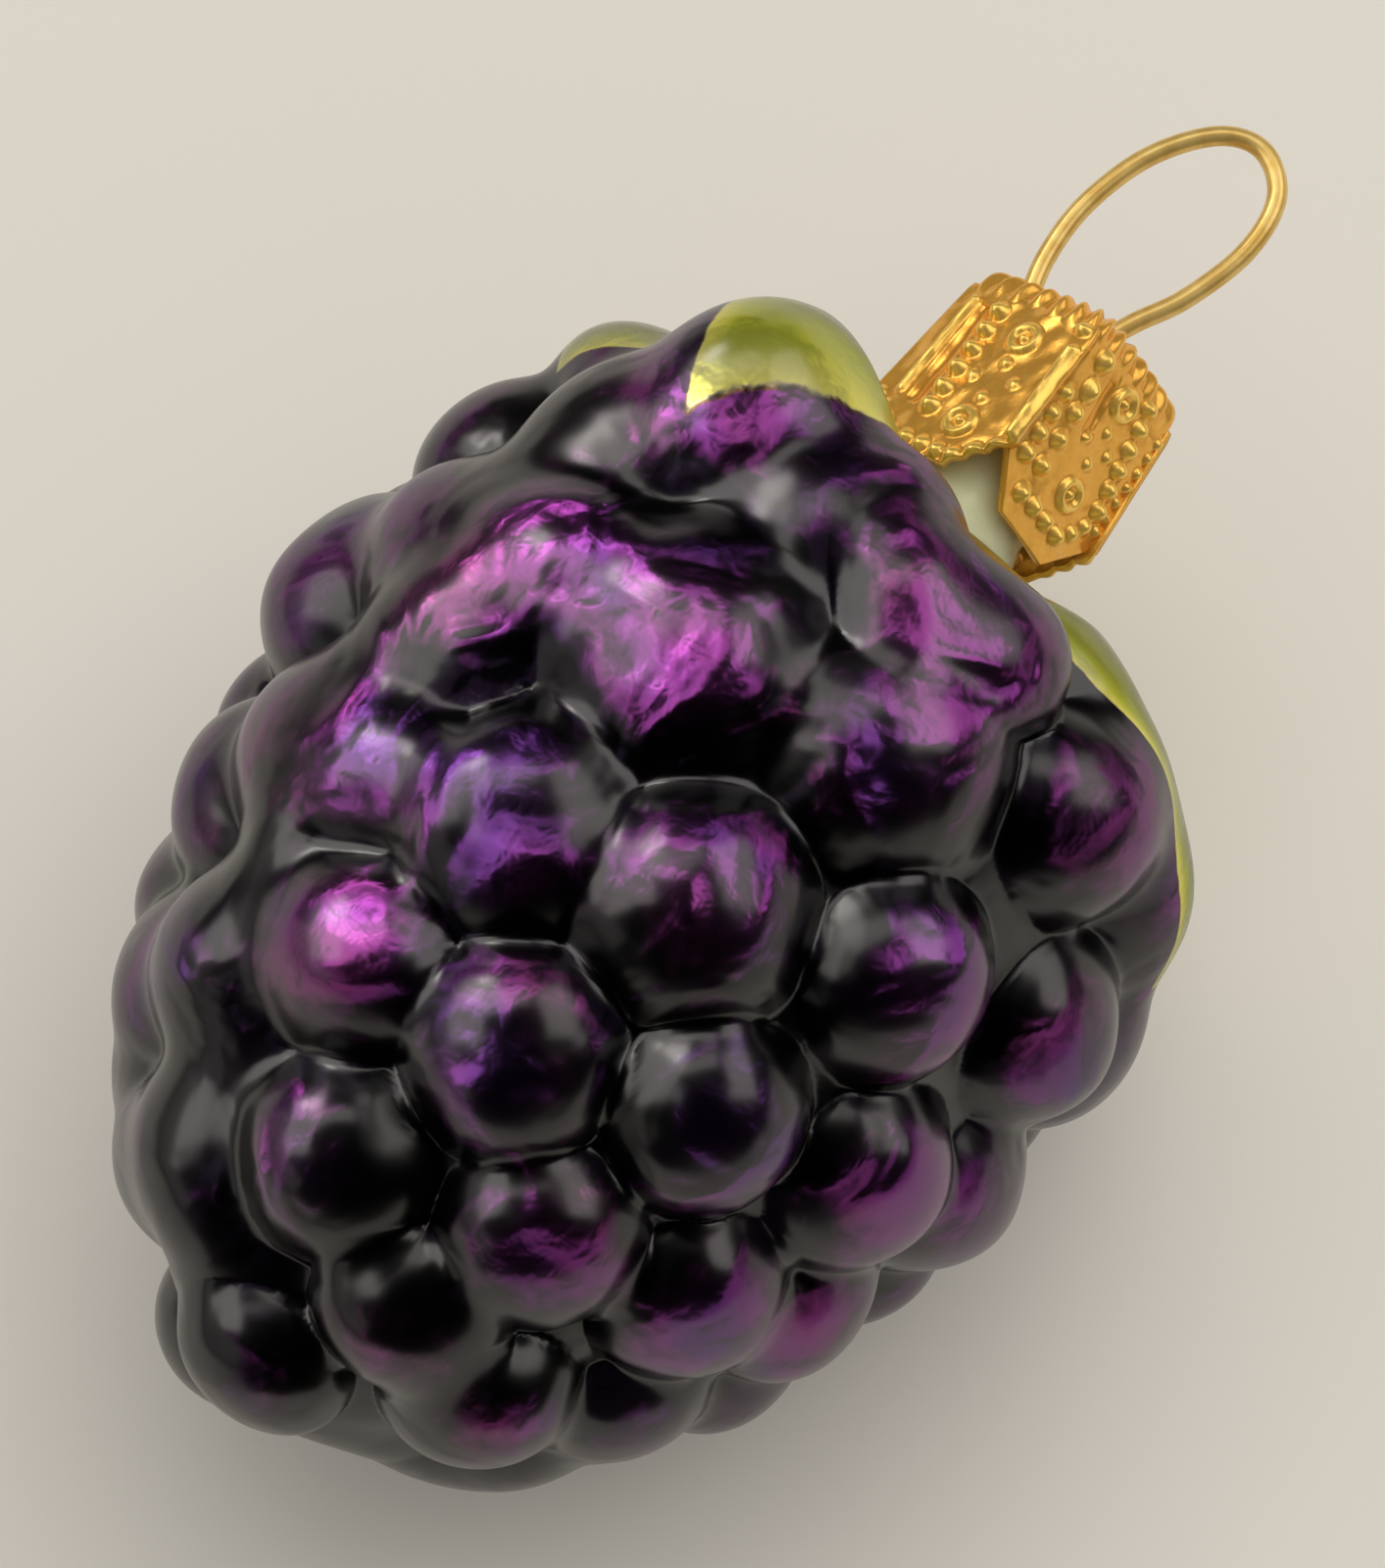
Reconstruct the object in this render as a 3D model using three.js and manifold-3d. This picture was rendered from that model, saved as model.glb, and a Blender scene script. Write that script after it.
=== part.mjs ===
// A mould-blown glass bramble berry ornament with a stamped cap and a wire hanging loop.
// Lengths are millimetres, angles degrees. Each piece is modelled upright about the Y axis, with the
// berry's tip at height zero, and the whole is then laid on its side with its cap end towards +X.
import * as THREE from 'three';
import { mergeVertices } from 'three/addons/utils/BufferGeometryUtils.js';
import Module from 'manifold-3d';

const wasm = await Module();
wasm.setup();

// Berry: an egg of revolution touches the tops of the drupelets, and the creases lie below it.
const EGG_HALF_LENGTH = 25;
const EGG_GIRTH = [19, -3.2, 2.2, -5.8]; // radius over sine, as a series in the cosine of the latitude
const CREASE_DEPTH = 2.8;
const CREASE_SOFTNESS = 0.7;
const GLASS_WALL = 0.8;
const GLASS_COLUMNS = 72;
const GLASS_ROWS = 36;

// Drupelets on the side that shows, one column after another: height, angle round the axis, radius,
// and how far one stands proud of the egg.
const DRUPELET_COLUMNS = [
  [[6, 54, 4.1], [14, 52, 4.2], [22.2, 55, 4.4], [32.2, 65, 4.5]],
  [[6.4, 16, 4], [11.5, 22, 4.2], [19.5, 26, 4.2], [28.7, 34, 4.4], [39.6, 44, 4.6]],
  [[9, -20, 4.4], [16.3, -3, 4.5], [25.4, 5, 5], [35.8, 13, 5.7], [42.4, 17.5, 3.4]],
  [[16.1, -33, 4.4], [23.8, -23, 5.2], [34.2, -18, 6.6], [44, -14, 6.4], [41.4, 5, 3.8]],
  [[23.2, -43, 3.8], [29, -45, 3.8], [33.5, -40, 5], [41.2, -47, 5.4], [1.8, -16, 3.6]],
  [[7, -60, 4.2], [13.4, -60, 4.5], [22.8, -61, 4.6], [33, -64, 4.6]],
  [[6.4, -88, 4], [12.4, -85, 4.4], [20.6, -84, 4.6], [30.2, -83, 5, 0.9], [39, -85, 4.4]],
  [[9.9, 80, 4.2], [17.3, 74, 4.2], [25.5, 80, 4.9], [34.4, 89, 4.6], [2.6, -140, 3.6]],
  [[7, 103, 4], [14.6, 99, 4.4], [22.6, 104, 4.5], [31, 110, 4.5], [40, 114, 4.4]],
];

// Drupelets on the far side stand in straight columns, every third one lowered.
const FAR_COLUMNS = 6;
const FAR_FIRST_ANGLE = 126;
const FAR_COLUMN_STEP = 26;
const FAR_HEIGHTS = [9.6, 17, 25.2, 34.4, 42.4];
const FAR_LOWER_HEIGHTS = [6.2, 13.1, 21.1, 29.8, 39.2];
const FAR_RADIUS = 4.5;

// Mould seam: a low ridge down both sides where the two halves of the mould met.
const SEAM_ANGLE = -53;
const SEAM_RISE = 2.2;
const SEAM_CURVE = 0.15;
const SEAM_FOOT = 1.6;
const SEAM_FULL_HEIGHT = 7.6;

// Calyx: smooth swelling sepals that hang from the neck. Angle, lean for each millimetre down, middle
// height, half length, half width and rise.
const SEPALS = [
  [-36, 0, 45, 6, 6.4, 5.4],
  [-76, 0.4, 44.9, 3.8, 6, 3.2],
  [36, 4.5, 39.5, 10, 6, 2.4],
  [128, 0.5, 44, 6, 6, 3],
  [-140, 0, 44, 6, 6, 3],
];
const SEPAL_TOP = 46.6;
const SHOULDER_TOP = 49.6;
const SHOULDER_DROP = 1.5;
const FRUIT_SHOULDER = 45.7;
const FRUIT_TOP = 48.2;

// Neck of the blown glass, open at the top.
const NECK_LATITUDE = 172;
const NECK_RADIUS = 3.1;
const NECK_BORE = 2.5;
const NECK_FOOT = 49;
const NECK_RIM = 54.6;

// Cap: a square of stamped sheet with a rounded crown, folded down into four flaps.
const CAP_SIDE = 7.5;
const CAP_PLATE_SIDE = 5;
const CAP_TOP = 58.1;
const CAP_FOLD = 56.6;
const CROWN_STEPS = 3;
const SHEET = 0.35;
const FLAP_SIDE_LENGTH = 5.6;
const FLAP_LENGTH = 7.8;
const FLAP_END_WIDTH = 3.6;
const OUTER_FLAP = { angles: [-45, 135], splay: 3, topWidth: 7.5, lowWidth: 8.4 };
const INNER_FLAP = { angles: [45, -135], splay: 1.5, topWidth: 7.2, lowWidth: 7.6 };

// Hanger: one spring wire, bent to a leaning loop, with legs that flare inside the glass.
const WIRE = 0.86;
const WIRE_HOLE = 1.9;
const HOLE_SIDES = 16;
const WIRE_STEPS = 96;
const WIRE_SIDES = 10;
const LOOP_ANGLE = 78;
const CROSSING = 57.9; // height at which the wire passes through the cap
const WIRE_ROUTE = [
  [-6.5, 37.5], [-4.5, 42], [-2.4, 46], [-1.6, 49], [-1.6, 52.4], [-1.9, 55], [-2.95, CROSSING],
  [-3.55, 60.2], [-3.6, 63], [-2.75, 66.2], [-1, 68.65], [0.9, 69.25], [2.6, 67.9], [3, 65.2],
  [2.2, 62], [1.05, 59.7], [0.5, CROSSING], [0.8, 55], [1.5, 52], [1.65, 49], [2.4, 46], [4.5, 42], [6.5, 37.5],
];

// Lie of the ornament on the four low drupelets that carry it.
const LIE_ROLL = 15;
const LIE_PITCH = 1.545;

const radians = THREE.MathUtils.degToRad;
const smooth = THREE.MathUtils.smoothstep;

function eggPoint(latitude) {
  const cosine = Math.cos(latitude);
  const series = EGG_GIRTH.reduce((sum, term, power) => sum + term * cosine ** power, 0);
  return new THREE.Vector2(Math.sin(latitude) * series, EGG_HALF_LENGTH * (1 - cosine));
}

function eggNormal(latitude) {
  const step = 1e-4;
  const along = eggPoint(latitude + step).sub(eggPoint(latitude - step));
  return new THREE.Vector2(along.y, -along.x).normalize();
}

// A point of the berry, offset from the level of the creases, as radius and height.
function profilePoint(latitude, offset) {
  return eggPoint(latitude).addScaledVector(eggNormal(latitude), offset - CREASE_DEPTH);
}

function turned(point, angle) {
  return new THREE.Vector3(point.x * Math.sin(angle), point.y, point.x * Math.cos(angle));
}

function latitudeAt(height) {
  return Math.acos(1 - height / EGG_HALF_LENGTH);
}

function placeDrupelets() {
  const listed = DRUPELET_COLUMNS.flat();
  for (let column = 0; column < FAR_COLUMNS; column += 1) {
    const heights = column % 3 ? FAR_HEIGHTS : FAR_LOWER_HEIGHTS;
    for (const height of heights) {
      listed.push([height, FAR_FIRST_ANGLE + FAR_COLUMN_STEP * column, FAR_RADIUS]);
    }
  }
  return listed.map(([height, angle, radius, proud = 0]) => ({
    centre: turned(profilePoint(latitudeAt(height), 0), radians(angle)),
    radius,
    top: CREASE_DEPTH + proud,
  }));
}

const drupelets = placeDrupelets();

function angleBetween(first, second) {
  return THREE.MathUtils.euclideanModulo(first - second + Math.PI, 2 * Math.PI) - Math.PI;
}

// Balls half sunk in the egg, blended so that the creases between them stay soft.
function drupeletRise(point, angle) {
  const girth = Math.hypot(point.x, point.z);
  let sum = 1;
  for (const { centre, radius, top } of drupelets) {
    const inside = radius ** 2 - point.distanceToSquared(centre);
    const rise = Math.sign(inside) * Math.sqrt(Math.abs(inside)) - radius + top;
    sum += Math.exp(rise / CREASE_SOFTNESS);
  }
  for (const side of [SEAM_ANGLE, SEAM_ANGLE + 180]) {
    const across = girth * angleBetween(angle, radians(side));
    const rise = SEAM_RISE * smooth(point.y, SEAM_FOOT, SEAM_FULL_HEIGHT) - SEAM_CURVE * across ** 2;
    sum += Math.exp(rise / CREASE_SOFTNESS);
  }
  return CREASE_SOFTNESS * Math.log(sum);
}

// Rise of the glass above its creases: the fruit, with the sepals swelling out of it below the neck.
function reliefRise(latitude, angle) {
  const { x: girth, y: height } = eggPoint(latitude);
  const fruit = drupeletRise(turned(profilePoint(latitude, 0), angle), angle);
  let sum = Math.exp((fruit * (1 - smooth(height, FRUIT_SHOULDER, FRUIT_TOP))) / CREASE_SOFTNESS);
  for (const [middle, lean, centre, halfLength, halfWidth, lift] of SEPALS) {
    const turn = radians(middle + lean * Math.max(SEPAL_TOP - height, 0));
    const across = (angleBetween(angle, turn) * girth) / halfWidth;
    const along = (height - centre) / halfLength;
    const drop = SHOULDER_DROP * smooth(height, SEPAL_TOP, SHOULDER_TOP);
    sum += Math.exp((lift * (1 - across ** 2 - along ** 2 - drop)) / CREASE_SOFTNESS);
  }
  return CREASE_SOFTNESS * Math.log(sum);
}

function weld(geometry) {
  geometry.deleteAttribute('normal');
  geometry.deleteAttribute('uv');
  const merged = mergeVertices(geometry, 1e-4);
  const corners = merged.index.array;
  const kept = [];
  for (let first = 0; first < corners.length; first += 3) {
    const [a, b, c] = corners.slice(first, first + 3);
    if (a !== b && b !== c && c !== a) kept.push(a, b, c);
  }
  merged.setIndex(kept);
  return merged;
}

function toSolid(geometry) {
  const merged = weld(geometry);
  const vertProperties = new Float32Array(merged.attributes.position.array);
  const triVerts = new Uint32Array(merged.index.array);
  return new wasm.Manifold(new wasm.Mesh({ numProp: 3, vertProperties, triVerts }));
}

function toGeometry(solid) {
  const { vertProperties, triVerts } = solid.getMesh();
  const geometry = new THREE.BufferGeometry();
  geometry.setAttribute('position', new THREE.BufferAttribute(vertProperties, 3));
  geometry.setIndex(new THREE.BufferAttribute(triVerts, 1));
  return geometry;
}

// Hollow glass: up the outside from the tip, over the neck's rim and back down the inside.
function glassBody() {
  const rows = [];
  for (let row = 0; row <= GLASS_ROWS; row += 1) {
    rows.push({ latitude: radians(NECK_LATITUDE) * (row / GLASS_ROWS), offset: 0 });
  }
  for (const [radius, height] of [
    [NECK_RADIUS, NECK_FOOT], [NECK_RADIUS, NECK_RIM], [NECK_BORE, NECK_RIM], [NECK_BORE, NECK_FOOT],
  ]) {
    rows.push({ point: new THREE.Vector2(radius, height) });
  }
  for (let row = GLASS_ROWS; row >= 0; row -= 1) {
    rows.push({ latitude: radians(NECK_LATITUDE) * (row / GLASS_ROWS), offset: -GLASS_WALL });
  }
  const profile = rows.map((row) => row.point ?? profilePoint(row.latitude, row.offset));
  const geometry = new THREE.LatheGeometry(profile, GLASS_COLUMNS);
  const position = geometry.attributes.position;
  for (let vertex = 0; vertex < position.count; vertex += 1) {
    const { latitude, offset } = rows[vertex % rows.length];
    if (latitude !== undefined) {
      const column = Math.floor(vertex / rows.length) % GLASS_COLUMNS;
      const angle = (column / GLASS_COLUMNS) * 2 * Math.PI;
      const raised = profilePoint(latitude, offset + reliefRise(latitude, angle));
      position.setXYZ(vertex, ...turned(raised, angle));
    }
  }
  return weld(geometry);
}

function capFlap({ splay, topWidth, lowWidth }, angle) {
  const outline = new THREE.Shape();
  outline.moveTo(-FLAP_END_WIDTH / 2, -FLAP_LENGTH);
  outline.lineTo(FLAP_END_WIDTH / 2, -FLAP_LENGTH);
  outline.lineTo(lowWidth / 2, -FLAP_SIDE_LENGTH);
  outline.lineTo(topWidth / 2, 0);
  outline.lineTo(-topWidth / 2, 0);
  outline.lineTo(-lowWidth / 2, -FLAP_SIDE_LENGTH);
  const sheet = new THREE.ExtrudeGeometry(outline, { depth: SHEET, bevelEnabled: false });
  sheet.translate(0, 0, -SHEET);
  sheet.rotateX(-radians(splay));
  sheet.translate(0, CAP_FOLD, CAP_SIDE / 2);
  sheet.rotateY(radians(angle));
  return toSolid(sheet);
}

function loopPoint([across, height]) {
  return turned(new THREE.Vector2(across, height), radians(LOOP_ANGLE));
}

// One face of the cap's crown from the fold up to the plate, as radius at its corners and height.
function crownFace(inset) {
  const half = CAP_SIDE / 2 - inset;
  const plateHalf = CAP_PLATE_SIDE / 2;
  const face = [new THREE.Vector2(Math.SQRT2 * half, CAP_FOLD - SHEET)];
  for (let step = 0; step <= CROWN_STEPS; step += 1) {
    const turn = (step / CROWN_STEPS) * (Math.PI / 2);
    const width = plateHalf + (half - plateHalf) * Math.cos(turn);
    const height = CAP_FOLD + (CAP_TOP - inset - CAP_FOLD) * Math.sin(turn);
    face.push(new THREE.Vector2(Math.SQRT2 * width, height));
  }
  face.push(new THREE.Vector2(0, CAP_TOP - inset));
  return face;
}

function cap() {
  const crown = new THREE.LatheGeometry([...crownFace(SHEET).reverse(), ...crownFace(0)], 4);
  let sheet = toSolid(crown);
  for (const flap of [OUTER_FLAP, INNER_FLAP]) {
    for (const angle of flap.angles) sheet = sheet.add(capFlap(flap, angle));
  }
  const holeDepth = 2 * (CAP_TOP - CAP_FOLD);
  for (const point of WIRE_ROUTE.filter(([, height]) => height === CROSSING)) {
    const hole = new THREE.CylinderGeometry(WIRE_HOLE / 2, WIRE_HOLE / 2, holeDepth, HOLE_SIDES);
    const { x, z } = loopPoint(point);
    hole.translate(x, CAP_TOP, z);
    sheet = sheet.subtract(toSolid(hole));
  }
  return toGeometry(sheet);
}

function hanger() {
  const route = new THREE.CatmullRomCurve3(WIRE_ROUTE.map(loopPoint));
  const section = new THREE.Shape();
  section.absarc(0, 0, WIRE / 2, 0, 2 * Math.PI);
  return new THREE.ExtrudeGeometry(section, {
    steps: WIRE_STEPS,
    curveSegments: WIRE_SIDES / 2,
    extrudePath: route,
  });
}

function piece(name, geometry, color, roughness, metalness) {
  const mesh = new THREE.Mesh(geometry, new THREE.MeshStandardMaterial({ color, roughness, metalness }));
  mesh.name = name;
  return mesh;
}

const upright = new THREE.Group();
upright.add(
  piece('glass_body', glassBody(), 0x4a2456, 0.12, 0.8),
  piece('cap', cap(), 0xd8a446, 0.35, 1),
  piece('hanger', hanger(), 0xd7af50, 0.3, 1),
);
upright.rotation.set(radians(LIE_ROLL), -radians(LIE_PITCH), -Math.PI / 2, 'YXZ');

const ornament = new THREE.Group();
ornament.add(upright);
const box = new THREE.Box3().setFromObject(ornament, true);
const middle = box.getCenter(new THREE.Vector3());
ornament.position.set(-middle.x, -middle.y, -box.min.z);

export default ornament;
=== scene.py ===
# A mould-blown glass bramble berry tree ornament lying on a pale desk top: a silvered and lacquered glass
# berry, a stamped gold cap and a wire loop to hang it by. Lengths are millimetres and angles degrees
# until a mesh is made, and the berry is modelled upright about Y before it is laid on its side.
from math import cos, radians, sin, sqrt

import bmesh
import bpy
import numpy as np
from mathutils import Euler, Matrix, Vector


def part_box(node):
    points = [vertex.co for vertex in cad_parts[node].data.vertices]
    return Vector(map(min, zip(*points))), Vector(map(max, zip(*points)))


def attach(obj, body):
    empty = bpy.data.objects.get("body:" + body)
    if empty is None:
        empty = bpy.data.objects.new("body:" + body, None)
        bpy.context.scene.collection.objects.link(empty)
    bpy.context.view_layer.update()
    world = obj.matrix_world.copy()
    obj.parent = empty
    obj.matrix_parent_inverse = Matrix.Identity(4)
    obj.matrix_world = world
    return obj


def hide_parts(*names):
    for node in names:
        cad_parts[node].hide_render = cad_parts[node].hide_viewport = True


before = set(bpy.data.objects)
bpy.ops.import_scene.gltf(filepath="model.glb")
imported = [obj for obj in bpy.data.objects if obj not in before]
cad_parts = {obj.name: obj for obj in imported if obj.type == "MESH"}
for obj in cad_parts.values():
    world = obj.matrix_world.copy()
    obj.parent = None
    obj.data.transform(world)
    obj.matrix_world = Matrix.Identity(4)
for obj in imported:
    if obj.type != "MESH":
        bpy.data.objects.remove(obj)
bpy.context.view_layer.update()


# Glass body
# A thin shell of glass, blown into a two-part mould cut as a bramble berry and left open at its neck.
# The mould gives the drupelets, the ridge down both sides where its halves met, and the sepals.
EGG_HALF_LENGTH = 25
EGG_GIRTH = [19, -3.2, 2.2, -5.8]
CREASE_DEPTH = 2.8
CREASE_SOFTNESS = 0.7
GLASS_WALL = 0.8
GLASS_COLUMNS = 540
GLASS_ROWS = 380
LINING_ROWS = 60

# Drupelets on the side that shows, one column after another: height, angle round the axis, radius,
# and how far one stands proud of the egg.
DRUPELET_COLUMNS = [
    [(6, 54, 4.1), (14, 52, 4.2), (22.2, 55, 4.4), (32.2, 65, 4.5)],
    [(6.4, 16, 4), (11.5, 22, 4.2), (19.5, 26, 4.2), (28.7, 34, 4.4), (39.6, 44, 4.6)],
    [(9, -20, 4.4), (16.3, -3, 4.5), (25.4, 5, 5), (35.8, 13, 5.7), (42.4, 17.5, 3.4)],
    [(16.1, -33, 4.4), (23.8, -23, 5.2), (34.2, -18, 6.6), (44, -14, 6.4), (41.4, 5, 3.8)],
    [(23.2, -43, 3.8), (29, -45, 3.8), (33.5, -40, 5), (41.2, -47, 5.4), (1.8, -16, 3.6)],
    [(7, -60, 4.2), (13.4, -60, 4.5), (22.8, -61, 4.6), (33, -64, 4.6)],
    [(6.4, -88, 4), (12.4, -85, 4.4), (20.6, -84, 4.6), (30.2, -83, 5, 0.9), (39, -85, 4.4)],
    [(9.9, 80, 4.2), (17.3, 74, 4.2), (25.5, 80, 4.9), (34.4, 89, 4.6), (2.6, -140, 3.6)],
    [(7, 103, 4), (14.6, 99, 4.4), (22.6, 104, 4.5), (31, 110, 4.5), (40, 114, 4.4)],
]

# Drupelets on the far side stand in straight columns, every third one lowered.
FAR_COLUMNS = 6
FAR_FIRST_ANGLE = 126
FAR_COLUMN_STEP = 26
FAR_HEIGHTS = [9.6, 17, 25.2, 34.4, 42.4]
FAR_LOWER_HEIGHTS = [6.2, 13.1, 21.1, 29.8, 39.2]
FAR_RADIUS = 4.5

# Mould seam: a low ridge down both sides.
SEAM_ANGLE = -53
SEAM_RISE = 2.2
SEAM_CURVE = 0.15
SEAM_FOOT = 1.6
SEAM_FULL_HEIGHT = 7.6

# Sepals: angle, lean for each millimetre down, middle height, half length, half width, rise.
SEPALS = [
    (-36, 0, 45, 6, 6.4, 5.4),
    (-76, 0.4, 44.9, 3.8, 6, 3.2),
    (36, 4.5, 39.5, 10, 6, 2.4),
    (128, 0.5, 44, 6, 6, 3),
    (-140, 0, 44, 6, 6, 3),
]
SEPAL_TOP = 46.6
SHOULDER_TOP = 49.6
SHOULDER_DROP = 1.5
FRUIT_SHOULDER = 45.7
FRUIT_TOP = 48.2

# Neck, open at the top: its outline goes up the outside, over the rounded lip and down the bore.
NECK_LATITUDE = 172
NECK_RADIUS = 3.1
NECK_BORE = 2.5
NECK_FOOT = 49
NECK_RIM = 54.6
NECK_LIP = 0.2
NECK_PROFILE = [
    (NECK_RADIUS, NECK_FOOT), (NECK_RADIUS, 51), (NECK_RADIUS, 53), (NECK_RADIUS, NECK_RIM - NECK_LIP),
    (NECK_RADIUS - NECK_LIP, NECK_RIM), (NECK_BORE + NECK_LIP / 2, NECK_RIM),
    (NECK_BORE, NECK_RIM - NECK_LIP), (NECK_BORE, NECK_FOOT),
]

# Unevenness of the blown surface, too slight and slow to come from the mould.
WAVER = 0.12
WAVER_LENGTHS = (5, 10)
WAVER_COUNT = 40
WAVER_SEED = 7

# Painted shade: the lacquer colour is darkened along the seam, towards the tip and on the shoulder: where,
# and how much darker it is made.
SEAM_BAND = 2.2
SEAM_SHADE = 1.4
TIP_BAND = (4, 16)
TIP_SHADE = 1.15
SHOULDER_BAND = (30, 40)
SHOULDER_SHADE = 0.4

# Green paint of the calyx, sepal by sepal: angle and height of its lowest point, how steeply its edge
# climbs from there on the left and on the right, and how quickly it thickens inside the edge.
PAINT = [
    (-35, 40.7, 1.9, 1.05, 1), (-74, 42.2, 1, 0.65, 3), (76, 37, 0.6, 1, 4),
    (128, 39, 1, 1, 2), (-140, 39, 1, 1, 2),
]
PAINT_THICKEST = 10
PAINT_ALWAYS = 47.5
PAINT_ALWAYS_GROWTH = 4
UNPAINTED_TIP = -9
BARE_NECK = 30.0

# The ornament lies on four drupelets.
LIE_ROLL = 15
LIE_PITCH = 1.545
lie = np.array(Euler((radians(LIE_ROLL), -radians(LIE_PITCH), -radians(90)), "ZXY").to_matrix())


def smooth(value, low, high):
    share = np.clip((value - low) / (high - low), 0, 1)
    return share * share * (3 - 2 * share)


def egg_point(latitude):
    cosine = np.cos(latitude)
    series = sum(term * cosine**power for power, term in enumerate(EGG_GIRTH))
    return np.sin(latitude) * series, EGG_HALF_LENGTH * (1 - cosine)


def profile_point(latitude, offset):
    step = 1e-4
    girth, height = egg_point(latitude)
    girth_after, height_after = egg_point(latitude + step)
    girth_before, height_before = egg_point(latitude - step)
    along_girth = girth_after - girth_before
    along_height = height_after - height_before
    length = np.hypot(along_girth, along_height)
    lift = offset - CREASE_DEPTH
    return girth + lift * along_height / length, height - lift * along_girth / length


def turned(girth, height, angle):
    return np.stack([girth * np.sin(angle), height + 0 * angle, girth * np.cos(angle)], -1)


def angle_between(first, second):
    return np.mod(first - second + np.pi, 2 * np.pi) - np.pi


def drupelets():
    """The ball of each drupelet: its centre, its radius, and how far it stands proud."""
    listed = [drupelet for column in DRUPELET_COLUMNS for drupelet in column]
    for column in range(FAR_COLUMNS):
        for height in FAR_HEIGHTS if column % 3 else FAR_LOWER_HEIGHTS:
            listed.append((height, FAR_FIRST_ANGLE + FAR_COLUMN_STEP * column, FAR_RADIUS))
    for height, angle, radius, *proud in listed:
        latitude = np.arccos(1 - height / EGG_HALF_LENGTH)
        yield turned(*profile_point(latitude, 0), np.radians(angle)), radius, sum(proud)


def fruit_rise(latitude, angle):
    level = turned(*profile_point(latitude, 0), angle)
    girth = np.hypot(level[..., 0], level[..., 2])
    total = np.ones(girth.shape)
    for centre, radius, proud in drupelets():
        inside = radius**2 - ((level - centre) ** 2).sum(-1)
        rise = np.sign(inside) * np.sqrt(np.abs(inside)) - radius + CREASE_DEPTH + proud
        total += np.exp(rise / CREASE_SOFTNESS)
    for side in (SEAM_ANGLE, SEAM_ANGLE + 180):
        across = girth * angle_between(angle, radians(side))
        rise = SEAM_RISE * smooth(level[..., 1], SEAM_FOOT, SEAM_FULL_HEIGHT) - SEAM_CURVE * across**2
        total += np.exp(rise / CREASE_SOFTNESS)
    return CREASE_SOFTNESS * np.log(total)


def berry_relief(latitude, angle):
    """Rise of the glass above its creases."""
    girth, height = egg_point(latitude)
    fruit = fruit_rise(latitude, angle) * (1 - smooth(height, FRUIT_SHOULDER, FRUIT_TOP))
    total = np.exp(fruit / CREASE_SOFTNESS)
    for middle, lean, centre, half_length, half_width, lift in SEPALS:
        turn = np.radians(middle + lean * np.maximum(SEPAL_TOP - height, 0))
        across = angle_between(angle, turn) * girth / half_width
        along = (height - centre) / half_length
        inside = 1 - across**2 - along**2
        rise = lift * (inside - SHOULDER_DROP * smooth(height, SEPAL_TOP, SHOULDER_TOP))
        total += np.exp(rise / CREASE_SOFTNESS)
    level = turned(*profile_point(latitude, 0), angle)
    return CREASE_SOFTNESS * np.log(total) + WAVER * waver(level)


def paint_depth(latitude, angle):
    """How thick the green paint is, or how far outside its edge where negative."""
    girth, height = egg_point(latitude)
    depth = PAINT_ALWAYS_GROWTH * (height - PAINT_ALWAYS) + 0 * angle
    for middle, tip, left, right, growth in PAINT:
        across = girth * angle_between(angle, radians(middle))
        depth = np.maximum(depth, growth * (height - tip - np.where(across < 0, -left, right) * across))
    return np.minimum(depth, PAINT_THICKEST)


def waver(points):
    """The slow unevenness of blown glass: a sum of waves in seeded directions, about one unit high."""
    draw = np.random.default_rng(WAVER_SEED)
    total = np.zeros(points.shape[:-1])
    for _ in range(WAVER_COUNT):
        way = draw.normal(size=3)
        length = draw.uniform(*WAVER_LENGTHS)
        phase = points @ (way / np.linalg.norm(way)) * 2 * np.pi / length
        total += np.sin(phase + draw.uniform(0, 2 * np.pi))
    return total / sqrt(WAVER_COUNT / 2)


def mesh_piece(name, points, faces):
    """A closed mesh, from upright millimetres to metres where the ornament lies."""
    mesh = bpy.data.meshes.new(name)
    mesh.from_pydata((np.asarray(points) @ lie.T / 1000 + tip_place).tolist(), [], faces)
    mesh.validate()
    shape = bmesh.new()
    shape.from_mesh(mesh)
    bmesh.ops.recalc_face_normals(shape, faces=shape.faces)
    shape.to_mesh(mesh)
    shape.free()
    mesh.polygons.foreach_set("use_smooth", [True] * len(mesh.polygons))
    piece = bpy.data.objects.new(name, mesh)
    bpy.context.collection.objects.link(piece)
    return piece


def lathe_faces(rows, columns):
    """Quads of a grid of rows that closes round the axis and ends in a pole at each end."""
    ring = np.arange(columns)
    beside = (ring + 1) % columns
    start = 1 + columns * np.arange(rows - 1)[:, None]
    quads = np.stack([start + ring, start + beside, start + columns + beside, start + columns + ring], -1)
    last = 1 + columns * (rows - 1)
    foot = [(0, 1 + b, 1 + a) for a, b in zip(ring.tolist(), beside.tolist())]
    head = [(last + columns, last + a, last + b) for a, b in zip(ring.tolist(), beside.tolist())]
    return foot + quads.reshape(-1, 4).tolist() + head


def lacquer_painted_shade(latitude, angle, rise):
    """Painted shade of the lacquer: lighter on drupelet tops, darker in creases and in the shaded bands."""
    girth, height = egg_point(latitude)
    along_seam = sum(np.exp(-(girth * angle_between(angle, radians(side)) / SEAM_BAND) ** 2)
                     for side in (SEAM_ANGLE, SEAM_ANGLE + 180))
    near_tip = 1 - smooth(height, *TIP_BAND)
    near_neck = smooth(height, *SHOULDER_BAND)
    return rise - SEAM_SHADE * along_seam - TIP_SHADE * near_tip - SHOULDER_SHADE * near_neck


def outside_grid():
    angle = np.linspace(0, 2 * np.pi, GLASS_COLUMNS, endpoint=False)[None, :]
    return np.linspace(0, radians(NECK_LATITUDE), GLASS_ROWS + 1)[1:, None], angle


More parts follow.
